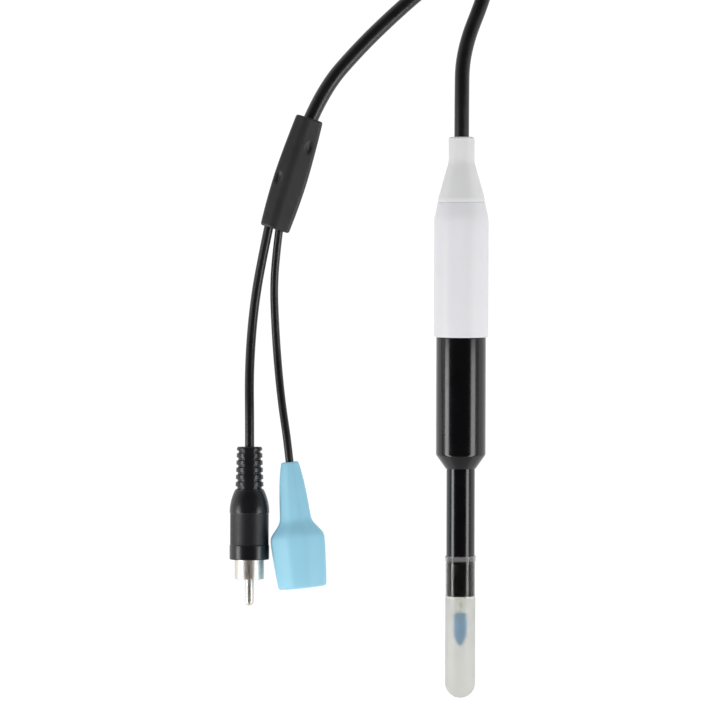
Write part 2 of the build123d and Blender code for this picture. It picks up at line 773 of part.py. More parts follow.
def plug_body():
    """Outer contact: a slit sleeve in front, a flange and a barrel behind."""
    sleeve_r, flange_r, barrel_r = body_sleeve_d / 2, body_flange_d / 2, body_barrel_d / 2
    bore_r, seat_r = sleeve_r - body_sleeve_wall, insulator_d / 2 + glue_gap
    rear_bore_r = plug_pin_d / 2 + free_gap
    flange_rear = body_flange_start + body_flange_length
    groove_r = barrel_r - snap_depth
    outline = [
        (bore_r, body_front), (sleeve_r, body_front), (sleeve_r, body_flange_start),
        (flange_r, body_flange_start), (flange_r, flange_rear), (barrel_r, flange_rear),
        (barrel_r, snap_low), (groove_r, snap_low), (groove_r, snap_high), (barrel_r, snap_high),
        (barrel_r, body_rear), (rear_bore_r, body_rear), (rear_bore_r, insulator_rear + glue_gap),
        (seat_r, insulator_rear + glue_gap), (seat_r, body_flange_start), (bore_r, body_flange_start),
    ]
    body = turned(outline)
    slit = Box(body_slit_width, body_sleeve_d, body_slit_length + overrun,
               align=(Align.CENTER, Align.MIN, Align.MIN))
    for place in range(body_slit_count):
        turn = place * 360 / body_slit_count
        body -= Rot(0, 0, turn) * Pos(0, 0, body_front - overrun) * slit
    return body


def plug_insulator():
    """White sleeve round the centre pin."""
    return ring(insulator_d, plug_pin_d + 2 * glue_gap, insulator_front, insulator_rear)


def plug_pin():
    """Centre contact with a round nose."""
    return rounded_end(plug_pin_d, plug_pin_front, plug_pin_rear)


def plug_gasket():
    """Face seal in front of the body's flange."""
    return ring(ring_bore_d - 2 * free_gap, body_sleeve_d + 2 * glue_gap,
                body_flange_start - gasket_length, body_flange_start)


def wave_washer():
    """Spring washer between the body's flange and the ring's rear wall."""
    low = body_flange_start + body_flange_length
    inner_r, outer_r = body_barrel_d / 2 + free_gap, body_flange_d / 2
    high = low + washer_rise
    return turned([(inner_r, high), (outer_r, low), (outer_r, low + washer_thickness),
                   (inner_r, high + washer_thickness)])


def snap_ring():
    """Open ring in the body's groove that keeps the coupling ring on."""
    inner_r = body_barrel_d / 2 - snap_depth + glue_gap
    outer_r = body_barrel_d / 2 + snap_stand_out
    low, high = snap_low + glue_gap, snap_high - glue_gap
    outline = Polyline((inner_r, low), (outer_r, low), (outer_r, high), (inner_r, high), close=True)
    return revolve(Plane.XZ * make_face(outline), Axis.Z, revolution_arc=360 - snap_gap_deg)


def crimp_sleeve():
    """Sleeve crimped on the lead behind the body, with two crimp grooves."""
    inner_r, outer_r = bayonet_lead_d / 2 + glue_gap, crimp_d / 2
    groove, depth = crimp_length / 6, (crimp_d - bayonet_lead_d) / 8
    low = body_rear
    outline = [(inner_r, low), (outer_r, low)]
    for start in (low + groove, low + 3 * groove):
        outline += [(outer_r, start), (outer_r - depth, start + groove / 4),
                    (outer_r - depth, start + groove), (outer_r, start + 5 * groove / 4)]
    outline += [(outer_r, crimp_top), (inner_r, crimp_top)]
    return turned(outline)


def bayonet_lead_end():
    """The straight end of the lead inside the boot and the crimp sleeve."""
    return rod(bayonet_lead_d, body_rear + crimp_length / 6, boot_length - lead_depth)


electrode = {
    "wetting_cap": wetting_cap(),
    "shaft": shaft(),
    "ph_bulb": ph_bulb(),
    "glass_stem": glass_stem(),
    "inner_wire": inner_wire(),
    "reference_wire": reference_wire(),
    "temperature_probe": temperature_probe(),
    "ceramic_junction": ceramic_junction(),
    "tip_seal": tip_seal(),
    "upper_stem_seal": upper_stem_seal(),
    "head": head(),
    "head_o_ring": head_o_ring(),
    "potting_plug": potting_plug(),
    "signal_core": core_lead(0, wire_top),
    "reference_core": core_lead(satellite_offset, wire_top),
    "probe_core": core_lead(-satellite_offset, wire_top),
    "probe_tail": probe_tail(),
    "upper_housing": upper_housing(),
    "strain_relief": strain_relief(),
    "cable_anchor_ring": cable_anchor_ring(),
    "cable_jacket_end": cable_jacket_end(),
}
phono_plug = {
    "phono_cover": phono_cover(),
    "phono_shell": phono_shell(),
    "phono_insulator": phono_insulator(),
    "phono_pin": phono_pin(),
    "phono_lead_end": phono_lead_end(),
}
bayonet_plug = {
    "bayonet_boot": bayonet_boot(),
    "coupling_ring": coupling_ring(),
    "plug_body": plug_body(),
    "plug_insulator": plug_insulator(),
    "plug_pin": plug_pin(),
    "plug_gasket": plug_gasket(),
    "wave_washer": wave_washer(),
    "snap_ring": snap_ring(),
    "crimp_sleeve": crimp_sleeve(),
    "bayonet_lead_end": bayonet_lead_end(),
}
nodes = {name: electrode_place * solid for name, solid in electrode.items()}
nodes |= {name: phono_location * solid for name, solid in phono_plug.items()}
nodes |= {name: boot_location * solid for name, solid in bayonet_plug.items()}
nodes["main_cable_a"] = cord_tube("main_cable_a", first_cable_route, cable_d)
nodes["main_cable_b"] = cord_tube("main_cable_b", second_cable_route, cable_d)
nodes["phono_lead"] = cord_tube("phono_lead", phono_lead_route, phono_lead_d)
nodes["bayonet_lead"] = cord_tube("bayonet_lead", bayonet_lead_route, bayonet_lead_d)
nodes["cable_coil"] = cable_coil()
nodes["coil_ties"] = coil_ties()
nodes["cable_splitter"] = cable_splitter()

os.makedirs("parts", exist_ok=True)
for name, solid in nodes.items():
    export_step(solid, f"parts/{name}.step")
turns_deg = coil_start_deg - coil_end_deg + 360 * coil_whole_turns
print(f"lean {degrees(lean):.3f} deg, tip face at y {tip_face_y:.2f}, z {tip_face_z:.2f}")
print(f"cable mouth at y {mouth.Y:.2f}, z {mouth.Z:.2f}")
print(f"coil length {radians(turns_deg) * coil_mean_d / 2:.0f}")
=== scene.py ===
import json
from math import acos, atan2, cos, hypot, pi, radians, sin, sqrt

import bmesh
import bpy
from mathutils import Matrix, Vector


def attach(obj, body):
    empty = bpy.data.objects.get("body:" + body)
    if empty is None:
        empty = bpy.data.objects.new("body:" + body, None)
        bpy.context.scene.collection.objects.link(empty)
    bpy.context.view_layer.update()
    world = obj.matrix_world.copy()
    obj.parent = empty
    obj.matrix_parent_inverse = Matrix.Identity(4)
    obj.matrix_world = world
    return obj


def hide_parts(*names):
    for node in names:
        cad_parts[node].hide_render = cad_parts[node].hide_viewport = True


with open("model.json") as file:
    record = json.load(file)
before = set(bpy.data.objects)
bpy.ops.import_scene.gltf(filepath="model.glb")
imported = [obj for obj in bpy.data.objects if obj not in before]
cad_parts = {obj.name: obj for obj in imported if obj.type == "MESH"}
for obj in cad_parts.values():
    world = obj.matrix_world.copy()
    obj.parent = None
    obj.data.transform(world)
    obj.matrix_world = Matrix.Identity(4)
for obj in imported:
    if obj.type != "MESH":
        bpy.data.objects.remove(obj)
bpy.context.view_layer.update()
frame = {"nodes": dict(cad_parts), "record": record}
nodes = frame["nodes"]
MM = 0.001
PIXEL = 0.352 * MM


# Electrode's sizes in millimetres: radii, and heights above the shaft's end
SHAFT_R, SHAFT_BORE_R, SHAFT_TOP = 5.0, 4.0, 63.0
SEAT_GAP = 0.02
HEAD_R, CONE_FOOT_R, SPIGOT_R, HEAD_BORE_R = 8.75, 5.3, 7.85, 6.0
HEAD_FOOT, CONE_TOP, HEAD_TOP, SPIGOT_TOP = 45.0, 49.9, 91.3, 98.5
HOUSING_R, HOUSING_BORE_R, SHOULDER_R = 9.6, 7.9, 8.3
SHOULDER_FOOT, HOUSING_ROOF, HOUSING_TOP = 132.8, 134.3, 138.8
FLANGE_R, FLANGE_FOOT, FLANGE_TOP = 7.0, 132.28, 134.28
RELIEF_R, RELIEF_NECK_R, RELIEF_BORE_R = 8.2, 4.55, 2.62
RELIEF_EDGE_TOP, RELIEF_NECK_FOOT, RELIEF_TOP = 140.0, 152.9, 161.7
CAP_R, CAP_BORE, CAP_BEAD_R = 5.3, 5.05, 5.5
CAP_END, CAP_IN, CAP_BEAD_FOOT, CAP_MOUTH = -35.95, -35.7, 12.2, 14.2

# Electrode's axis: it lies on the cap's round end and on the housing's rim
RIM_R, RIM_Z, CAP_BALL_Z, RELIEF_END_R = HOUSING_R, 91.7, CAP_END + CAP_R, 3.65
LEAN = acos(CAP_R / hypot(RIM_R, RIM_Z - CAP_BALL_Z)) - atan2(RIM_Z - CAP_BALL_Z, RIM_R)
LOW_Y, HIGH_Y = CAP_BALL_Z * cos(LEAN) - CAP_R, RELIEF_TOP * cos(LEAN) + RELIEF_END_R * sin(LEAN)
TIP = Vector((0.0, -(LOW_Y + HIGH_Y) / 2, CAP_R - CAP_BALL_Z * sin(LEAN))) * MM
ALONG = Vector((0.0, cos(LEAN), sin(LEAN)))
AXIS = Matrix.Translation(TIP) @ Matrix.Rotation(-(pi / 2 - LEAN), 4, "X")


def on_axis(height):
    return TIP + ALONG * (height * MM)


# Materials
def new_material(name):
    """A material with an empty Principled shader: the material, its tree, the shader and object coordinates."""
    mat = bpy.data.materials.new(name)
    mat.use_nodes = True
    tree = mat.node_tree
    tree.nodes.clear()
    out = tree.nodes.new("ShaderNodeOutputMaterial")
    shader = tree.nodes.new("ShaderNodeBsdfPrincipled")
    tree.links.new(shader.outputs[0], out.inputs["Surface"])
    coords = tree.nodes.new("ShaderNodeTexCoord")
    return mat, tree, shader, coords.outputs["Object"]


def noise(tree, coords, scale, detail=3.0, rough=0.55):
    node = tree.nodes.new("ShaderNodeTexNoise")
    node.inputs["Scale"].default_value = scale
    node.inputs["Detail"].default_value = detail
    node.inputs["Roughness"].default_value = rough
    tree.links.new(coords, node.inputs["Vector"])
    return node.outputs["Fac"]


def spread(tree, value, low, high, start=0.3, end=0.7):
    node = tree.nodes.new("ShaderNodeMapRange")
    node.inputs["From Min"].default_value = start
    node.inputs["From Max"].default_value = end
    node.inputs["To Min"].default_value = low
    node.inputs["To Max"].default_value = high
    tree.links.new(value, node.inputs["Value"])
    return node.outputs["Result"]


def mix_colour(tree, fac, one, two):
    node = tree.nodes.new("ShaderNodeMix")
    node.data_type = "RGBA"
    tree.links.new(fac, node.inputs[0])
    for value, socket in ((one, node.inputs[6]), (two, node.inputs[7])):
        if hasattr(value, "links"):
            tree.links.new(value, socket)
        else:
            socket.default_value = (*value, 1.0)
    return node.outputs[2]


def bump(tree, height, distance, strength, under=None):
    node = tree.nodes.new("ShaderNodeBump")
    node.inputs["Distance"].default_value = distance
    node.inputs["Strength"].default_value = strength
    tree.links.new(height, node.inputs["Height"])
    if under is not None:
        tree.links.new(under, node.inputs["Normal"])
    return node.outputs["Normal"]


def moulded(name, colour, vary, rough, grain=1800.0, grain_depth=0.00001, strength=0.25,
            wave=60.0, metal=0.0, specular=0.5, coat=0.0, coat_rough=0.1):
    """A plastic, rubber or metal with a fine grain, slow variation of its colour and of its gloss."""
    mat, tree, shader, coords = new_material(name)
    slow = noise(tree, coords, wave, 2.0)
    dark = tuple(c * (1 - vary) for c in colour)
    light = tuple(min(1.0, c * (1 + vary)) for c in colour)
    tree.links.new(mix_colour(tree, spread(tree, slow, 0, 1), dark, light), shader.inputs["Base Color"])
    gloss = noise(tree, coords, wave * 4, 3.0)
    tree.links.new(spread(tree, gloss, rough[0], rough[1]), shader.inputs["Roughness"])
    fine = noise(tree, coords, grain, 2.0)
    tree.links.new(bump(tree, fine, grain_depth, strength), shader.inputs["Normal"])
    shader.inputs["Metallic"].default_value = metal
    shader.inputs["Specular IOR Level"].default_value = specular
    shader.inputs["Coat Weight"].default_value = coat
    shader.inputs["Coat Roughness"].default_value = coat_rough
    return mat


def clear(name, colour, rough, ior, amount, vary=0.05, wave=90.0):
    """A clear plastic or glass with slow streaks."""
    mat, tree, shader, coords = new_material(name)
    slow = noise(tree, coords, wave, 2.0)
    dark = tuple(c * (1 - vary) for c in colour)
    tree.links.new(mix_colour(tree, spread(tree, slow, 0, 1), dark, colour), shader.inputs["Base Color"])
    tree.links.new(spread(tree, noise(tree, coords, wave * 3), rough[0], rough[1]), shader.inputs["Roughness"])
    tree.links.new(bump(tree, slow, 0.00002, 0.05), shader.inputs["Normal"])
    shader.inputs["IOR"].default_value = ior
    shader.inputs["Transmission Weight"].default_value = amount
    return mat


MATERIALS = {
    "cap_clear": clear("cap_clear", (0.86, 0.86, 0.835), (0.08, 0.12), 1.2, 1.0),
    "black_gloss": moulded("black_gloss", (0.0020, 0.0017, 0.0023), 0.2, (0.15, 0.20), strength=0.06),
    "black_matt": moulded("black_matt", (0.007, 0.007, 0.007), 0.2, (0.42, 0.55)),
    "bulb_glass": clear("bulb_glass", (0.19, 0.64, 0.92), (0.30, 0.40), 1.15, 0.85, 0.25),
    "stem_glass": clear("stem_glass", (0.95, 0.955, 0.93), (0.05, 0.10), 1.35, 0.97),
    "silver": moulded("silver", (0.75, 0.74, 0.70), 0.08, (0.25, 0.35), metal=1.0),
    "steel": moulded("steel", (0.58, 0.58, 0.58), 0.08, (0.22, 0.34), metal=1.0),
    "ceramic_white": moulded("ceramic_white", (0.84, 0.82, 0.76), 0.05, (0.7, 0.8)),
    "seal_rubber": moulded("seal_rubber", (0.010, 0.010, 0.010), 0.2, (0.5, 0.62)),
    "resin": moulded("resin", (0.20, 0.17, 0.11), 0.15, (0.3, 0.45)),
    "core_white": moulded("core_white", (0.76, 0.76, 0.74), 0.04, (0.4, 0.5)),
    "white_shell": moulded("white_shell", (0.745, 0.742, 0.772), 0.012, (0.42, 0.50), strength=0.12),
    "grey_soft": moulded("grey_soft", (0.735, 0.735, 0.74), 0.015, (0.52, 0.62), strength=0.25),
    "cable_black": moulded("cable_black", (0.0032, 0.0032, 0.0034), 0.25, (0.34, 0.42), grain=1300.0,
                           strength=0.10, specular=0.6),
    "tie_grey": moulded("tie_grey", (0.020, 0.020, 0.022), 0.2, (0.6, 0.7)),
    "splitter_grey": moulded("splitter_grey", (0.0168, 0.0168, 0.0173), 0.12, (0.44, 0.54), grain=900.0),
    "plug_black": moulded("plug_black", (0.005, 0.005, 0.0062), 0.2, (0.26, 0.34), strength=0.15),
    "nickel": moulded("nickel", (0.70, 0.665, 0.61), 0.03, (0.40, 0.48), metal=1.0, strength=0.1),
    "insulator_white": moulded("insulator_white", (0.78, 0.77, 0.73), 0.03, (0.4, 0.5)),
    "boot_blue": moulded("boot_blue", (0.285, 0.595, 0.752), 0.03, (0.46, 0.56), strength=0.2),
    "contact_gold": moulded("contact_gold", (0.83, 0.63, 0.25), 0.03, (0.16, 0.24), metal=1.0),
}


def between(tree, coords, low, high, edge):
    """1 where the Y coordinate lies between two places, eased over a short edge, and 0 elsewhere."""
    split = tree.nodes.new("ShaderNodeSeparateXYZ")
    tree.links.new(coords, split.inputs[0])
    rise = spread(tree, split.outputs["Y"], 0.0, 1.0, low - edge, low + edge)
    fall = spread(tree, split.outputs["Y"], 1.0, 0.0, high - edge, high + edge)
    node = tree.nodes.new("ShaderNodeMath")
    node.operation = "MULTIPLY"
    tree.links.new(rise, node.inputs[0])
    tree.links.new(fall, node.inputs[1])
    return node.outputs[0]


def parts_of(mat):
    """A material's node tree, its shader and its object coordinates."""
    tree = mat.node_tree
    shader = next(n for n in tree.nodes if n.type == "BSDF_PRINCIPLED")
    return tree, shader, next(n for n in tree.nodes if n.type == "TEX_COORD").outputs["Object"]


def matt_between(mat, low, high, edge, rough):
    """Roughens a material between two places along Y."""
    tree, shader, coords = parts_of(mat)
    gloss = shader.inputs["Roughness"].links[0].from_socket
    mask = between(tree, coords, low, high, edge)
    matt = spread(tree, noise(tree, coords, 700.0), rough[0], rough[1])
    node = tree.nodes.new("ShaderNodeMix")
    node.data_type = "FLOAT"
    tree.links.new(mask, node.inputs[0])
    tree.links.new(gloss, node.inputs[2])
    tree.links.new(matt, node.inputs[3])
    tree.links.new(node.outputs[0], shader.inputs["Roughness"])


def milky_between(mat, zones):
    """Lets less light through a clear material in zones along the electrode's axis: (from, to, edge, share)."""
    tree, shader, coords = parts_of(mat)
    clearness = None
    for low, high, edge, share in zones:
        mask = between(tree, coords, on_axis(low).y, on_axis(high).y, edge)
        left = spread(tree, mask, 1.0, 1.0 - share, 0.0, 1.0)
        if clearness is not None:
            node = tree.nodes.new("ShaderNodeMath")
            node.operation = "MULTIPLY"
            tree.links.new(clearness, node.inputs[0])
            tree.links.new(left, node.inputs[1])
            left = node.outputs[0]
        clearness = left
    tree.links.new(clearness, shader.inputs["Transmission Weight"])


def tint_between(mat, low, high, edge, colour):
    """Turns a material's colour to another between two places along Y."""
    tree, shader, coords = parts_of(mat)
    base = shader.inputs["Base Color"].links[0].from_socket
    tinted = mix_colour(tree, between(tree, coords, low, high, edge), base, colour)
    tree.links.new(tinted, shader.inputs["Base Color"])


GRIP_FROM, GRIP_TO, BELOW_CAP = -45.0, -33.8, -40
matt_between(MATERIALS["plug_black"], GRIP_FROM * MM, GRIP_TO * MM, 0.0001, (0.44, 0.52))
matt_between(MATERIALS["cap_clear"], on_axis(BELOW_CAP).y, on_axis(-0.4).y, 0.0006, (0.34, 0.42))
# Painted light: the black shaft turns a lighter grey where it lies inside the cap, standing in for the light that
# the milky cap scatters over it
tint_between(MATERIALS["black_gloss"], on_axis(-1).y, on_axis(12.0).y, 0.0006, (0.017, 0.017, 0.0163))
milky_between(MATERIALS["cap_clear"], (
    (BELOW_CAP, -0.6, 0.0008, 0.15), (CAP_BEAD_FOOT + 0.1, CAP_MOUTH + 0.1, 0.0002, 0.12)))
SLOTS = {s["node"]: s["material_slot"] for s in frame["record"]["subparts"]}


def paint(obj, material):
    obj.data.materials.clear()
    obj.data.materials.append(material)
    return obj


for name, node in nodes.items():
    node.data.materials.clear()
    node.data.materials.append(MATERIALS[SLOTS[name]])


# Mesh helpers
def finish_mesh(name, bm, slot, body, matrix=None, smooth_angle=38.0):
    mesh = bpy.data.meshes.new(name)
    bmesh.ops.recalc_face_normals(bm, faces=bm.faces)
    bm.to_mesh(mesh)
    bm.free()
    if matrix is not None:
        mesh.transform(matrix)
    mesh.polygons.foreach_set("use_smooth", [True] * len(mesh.polygons))
    mesh.set_sharp_from_angle(angle=radians(smooth_angle))
    mesh.update()
    obj = bpy.data.objects.new(name, mesh)
    bpy.context.scene.collection.objects.link(obj)
    paint(obj, MATERIALS[slot])
    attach(obj, body)
    return obj


def eased(points, steps=5):
    """A profile from (radius, height, easing radius) corners, each rounded by its easing radius."""
    out = []
    count = len(points)
    for i, (x, y, r) in enumerate(points):
        here = Vector((x, y))
        if r <= 0:
            out.append(here)
            continue
        before = Vector(points[i - 1][:2]) - here
        after = Vector(points[(i + 1) % count][:2]) - here
        reach = min(r, before.length * 0.49, after.length * 0.49)
        one, two = here + before.normalized() * reach, here + after.normalized() * reach
        for step in range(steps + 1):
            t = step / steps
            out.append(one * (1 - t) ** 2 + here * 2 * t * (1 - t) + two * t * t)
    return out


def ease(t):
    t = max(0.0, min(1.0, t))
    return t * t * (3 - 2 * t)


def turned(name, points, slot, body, matrix, sides=96, steps=5, smooth_angle=38.0, dent=None):
    """A solid of revolution about local Z from a closed, eased profile; dent(r, z, angle) may change a radius."""
    profile = eased(points, steps)
    bm = bmesh.new()
    rings = []
    for p in profile:
        if p.x < 1e-6:
            rings.append([bm.verts.new((0, 0, p.y * MM))])
        else:
            rings.append([])
            for k in range(sides):
                angle = 2 * pi * k / sides
                r = (dent(p.x, p.y, angle) if dent else p.x) * MM
                rings[-1].append(bm.verts.new((r * cos(angle), r * sin(angle), p.y * MM)))
    for i in range(len(rings)):
        one, two = rings[i], rings[(i + 1) % len(rings)]
        if len(one) == 1 and len(two) == 1:
            continue
        for k in range(sides):
            j = (k + 1) % sides
            if len(one) == 1:
                bm.faces.new((one[0], two[j], two[k]))
            elif len(two) == 1:
                bm.faces.new((one[k], one[j], two[0]))
            else:
                bm.faces.new((one[k], one[j], two[j], two[k]))
    return finish_mesh(name, bm, slot, body, matrix, smooth_angle)


# Electrode
head_obj = turned("grip", [
    (SHAFT_R + SEAT_GAP, HEAD_FOOT, 0.1), (CONE_FOOT_R, HEAD_FOOT, 0.25), (HEAD_R, CONE_TOP, 0.5),
    (HEAD_R, HEAD_TOP, 0.35), (SPIGOT_R, HEAD_TOP, 0), (SPIGOT_R, SPIGOT_TOP, 0), (HEAD_BORE_R, SPIGOT_TOP, 0),
    (HEAD_BORE_R, SHAFT_TOP + SEAT_GAP, 0), (SHAFT_R + SEAT_GAP, SHAFT_TOP + SEAT_GAP, 0)],
    "black_gloss", "electrode", AXIS)
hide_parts("head")
shaft_obj = turned("probe_tube", [
    (SHAFT_BORE_R, 0.0, 0.1), (SHAFT_R, 0.0, 0.25), (SHAFT_R, SHAFT_TOP, 0), (SHAFT_BORE_R, SHAFT_TOP, 0)],
    "black_gloss", "electrode", AXIS)
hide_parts("shaft")
housing_obj = turned("shell", [
    (HOUSING_BORE_R, HEAD_TOP, 0.1), (HOUSING_R, HEAD_TOP, 0.55), (HOUSING_R, SHOULDER_FOOT, 1.8),
    (SHOULDER_R, HOUSING_TOP, 0.35), (SHAFT_R + SEAT_GAP, HOUSING_TOP, 0),
    (SHAFT_R + SEAT_GAP, HOUSING_ROOF, 0), (HOUSING_BORE_R, HOUSING_ROOF, 0)],
    "white_shell", "electrode", AXIS, steps=7)
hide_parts("upper_housing")
relief_obj = turned("relief", [
    (RELIEF_BORE_R, FLANGE_FOOT, 0), (FLANGE_R, FLANGE_FOOT, 0), (FLANGE_R, FLANGE_TOP, 0),
    (SHAFT_R, FLANGE_TOP, 0), (SHAFT_R, HOUSING_TOP, 0), (RELIEF_R, HOUSING_TOP, 0.25),
    (RELIEF_R, RELIEF_EDGE_TOP, 0.9), (RELIEF_NECK_R, RELIEF_NECK_FOOT, 1.2),
    (RELIEF_NECK_R, RELIEF_TOP, 0.9), (RELIEF_BORE_R, RELIEF_TOP, 0.25)],
    "grey_soft", "electrode", AXIS, steps=8)
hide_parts("strain_relief")

ARC_STEPS = 16
cap_profile = []
for k in range(ARC_STEPS + 1):
    a = radians(-90 + 90 * k / ARC_STEPS)
    cap_profile.append((CAP_R * cos(a), CAP_END + CAP_R + CAP_R * sin(a), 0))
cap_profile += [
    (CAP_R, CAP_BEAD_FOOT, 0.15), (CAP_BEAD_R, CAP_BEAD_FOOT + 0.2, 0.2), (CAP_BEAD_R, CAP_MOUTH, 0.3),
    (CAP_BEAD_R - 0.22, CAP_MOUTH, 0.05), (CAP_BORE, CAP_MOUTH - 0.25, 0.1)]
for k in range(ARC_STEPS + 1):
    a = radians(-90 * k / ARC_STEPS)
    cap_profile.append((CAP_BORE * cos(a), CAP_IN + CAP_BORE + CAP_BORE * sin(a), 0))
cap_profile[-1] = (0.0, CAP_IN, 0)
cap_profile[0] = (0.0, CAP_END, 0)
cap_obj = turned("clear_cap", cap_profile, "cap_clear", "cap", AXIS)
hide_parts("wetting_cap")

BULB_WALL, BULB_END = 0.35, -17.5
BULB = [(2.0, -6.0), (2.12, -6.7), (2.3, -7.6), (2.3, -12.8), (2.24, -13.6), (2.05, -14.5), (1.72, -15.4),
        (1.32, -16.2), (0.95, -16.8), (0.62, -17.25), (0.32, -17.5), (0.0, -17.6)]
bulb_profile = [(r, z, 0.25 if 0 < i < 4 else 0) for i, (r, z) in enumerate(BULB)]
bulb_profile += [(max(0.0, r - BULB_WALL), z + BULB_WALL * (z < BULB_END), 0) for r, z in reversed(BULB)]
bulb_obj = turned("glass_bulb", bulb_profile, "bulb_glass", "electrode", AXIS, sides=64)
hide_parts("ph_bulb")


# Cords
def v(*xyz):
    return Vector(xyz) * MM


MOUTH = on_axis(RELIEF_TOP)
MAIN_D, PHONO_D, BAYONET_D = 0.0052, 0.0033, 0.00285
COIL_CENTRE = Vector((40.5, 184.0))
COIL_IN, COIL_TRAVEL = 180.0, 1355.0
COIL_R, COIL_Z, LANE, ENTRY = 29.1, 3.65, 5.2, 1.6
ENTRY_SWEEP, SHIFT_SWEEP = 26, 70
SHIFT_IN, SHIFT_UP, SHIFT_OUT = 315, 655, 995


def coil_heading(angle):
    return Vector((sin(radians(angle)), -cos(radians(angle)), 0.0))


def coil_points(count=74):
    """Four lanes, two across and two high; each lap moves to the next lane on the side where three laps lie."""
    grow = 1 / (0.25 * cos(radians(COIL_TRAVEL / count)) + 0.75)
    made = []
    for i in range(count + 1):
        t = COIL_TRAVEL * i / count
        inwards, upwards, outwards = (ease((t - at) / SHIFT_SWEEP) for at in (SHIFT_IN, SHIFT_UP, SHIFT_OUT))
        entry = ENTRY * max(0.0, 1 - t / ENTRY_SWEEP) ** 2
        r = (COIL_R + entry - LANE * inwards + LANE * outwards) * grow
        z = COIL_Z + LANE * upwards
        a = radians(COIL_IN - t)
        made.append(v(COIL_CENTRE.x + r * cos(a), COIL_CENTRE.y + r * sin(a), z))
    return made


coil = coil_points()
main_route = [
    MOUTH - ALONG * 6 * MM, MOUTH + ALONG * 12 * MM, v(0.3, 129.0, 9.2), v(8.6, 150.0, 4.4),
    v(10.2, 160.0, 2.6), v(8.0, 172.0, 2.6),
    *coil,
    coil[-1] + coil_heading(COIL_IN - COIL_TRAVEL) * 17 * MM, v(4.0, 159.4, 8.84), v(-10.0, 154.2, 5.2),
    v(-23.0, 143.2, 2.6), v(-36.0, 130.6, 2.6), v(-48.8, 115.8, 3.4), v(-54.1, 103.0, 4.0)]
PHONO_MOUTH = v(-74.4, -10.4, 7.0)
BOOT_TOP = v(-60.25, -15.7, 8.5)
BOOT_LEAN = radians(6.0)
BOOT_HEADING = Vector((sin(BOOT_LEAN), -cos(BOOT_LEAN), 0.0))
phono_route = [
    v(-67.4, 69.4, 4.0), v(-69.9, 57.5, 2.6), v(-72.4, 44.0, 1.65), v(-74.0, 29.5, 1.65), v(-74.7, 14.2, 3.6),
    PHONO_MOUTH + v(0, 10, 0), PHONO_MOUTH - v(0, 4, 0)]
bayonet_route = [
    v(-63.9, 68.6, 4.0), v(-65.3, 57.5, 2.6), v(-66.1, 46.0, 1.6), v(-65.6, 32.5, 1.425), v(-64.6, 18.5, 2.0),
    v(-63.1, 4.5, 4.8), BOOT_TOP - BOOT_HEADING * 7 * MM, BOOT_TOP + BOOT_HEADING * 4 * MM]


def cord_curve(name, points, diameter, slot="cable_black"):
    curve = bpy.data.curves.new(name, "CURVE")
    curve.dimensions = "3D"
    curve.resolution_u = 10
    curve.bevel_depth = diameter / 2
    curve.bevel_resolution = 7
    curve.use_fill_caps = True
    spline = curve.splines.new("NURBS")
    spline.points.add(len(points) - 1)
    for point, place in zip(spline.points, points):
        point.co = (*place, 1.0)
    spline.order_u = 3
    spline.use_endpoint_u = True
    spline.resolution_u = 10
    obj = bpy.data.objects.new(name, curve)
    bpy.context.scene.collection.objects.link(obj)
    paint(obj, MATERIALS[slot])
    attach(obj, "electrode")
    return obj


main_cable = cord_curve("cable", main_route, MAIN_D)
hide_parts("main_cable_a", "cable_coil", "main_cable_b")
left_lead = cord_curve("lead_left", phono_route, PHONO_D)
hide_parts("phono_lead")
right_lead = cord_curve("lead_right", bayonet_route, BAYONET_D)
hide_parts("bayonet_lead")


# Bayonet plug's boot
BOOT_LENGTH = 44.4
BOOT_FLAT_SHARE, BOOT_SIDE_SHARE, BOOT_EDGE_SHARE = 0.35, 0.40, 0.20
BOOT_SPREAD = 0.9
BOOT_BORE = [  # height above the open end, radius
    (0.0, 7.22), (14.55, 7.22), (14.6, 5.4), (27.9, 3.0), (29.0, 3.0), (31.9, 1.72), (BOOT_LENGTH, 1.72)]
BOOT_ROWS = 62
BOOT_SECTIONS = [  # height above the open end, half width, half height
    (0.0, 8.45, 8.2), (5.77, 8.95, 8.5), (14.65, 9.5, 8.5), (18.2, 9.5, 8.5), (20.3, 8.0, 7.65),
    (22.3, 6.25, 6.2), (24.0, 5.5, 5.5), (32.41, 4.85, 4.85), (38.18, 4.2, 4.2), (41.74, 3.6, 3.6),
    (44.4, 3.0, 3.0)]


def boot_halves(z):
    """Half width and half height at a height, with the sections' corners smoothed along the length."""
    total = [0.0, 0.0]
    reach = min(BOOT_SPREAD, z, BOOT_LENGTH - z)
    for shift in (-1.0, -0.5, 0.0, 0.5, 1.0):
        at = z + shift * reach
        for low, high in zip(BOOT_SECTIONS, BOOT_SECTIONS[1:]):
            if at <= high[0] + 1e-9:
                t = (at - low[0]) / (high[0] - low[0])
                total[0] += (low[1] + (high[1] - low[1]) * t) / 5
                total[1] += (low[2] + (high[2] - low[2]) * t) / 5
                break
    return total


def octagon(half_width, half_height, corner_steps=5):
    flat, side = half_width * BOOT_FLAT_SHARE, half_height * BOOT_SIDE_SHARE
    corners = [(flat, -half_height), (half_width, -side), (half_width, side), (flat, half_height),
               (-flat, half_height), (-half_width, side), (-half_width, -side), (-flat, -half_height)]
    ease_by = min(half_width, half_height) * BOOT_EDGE_SHARE
    return eased([(x, y, ease_by) for x, y in corners], corner_steps)


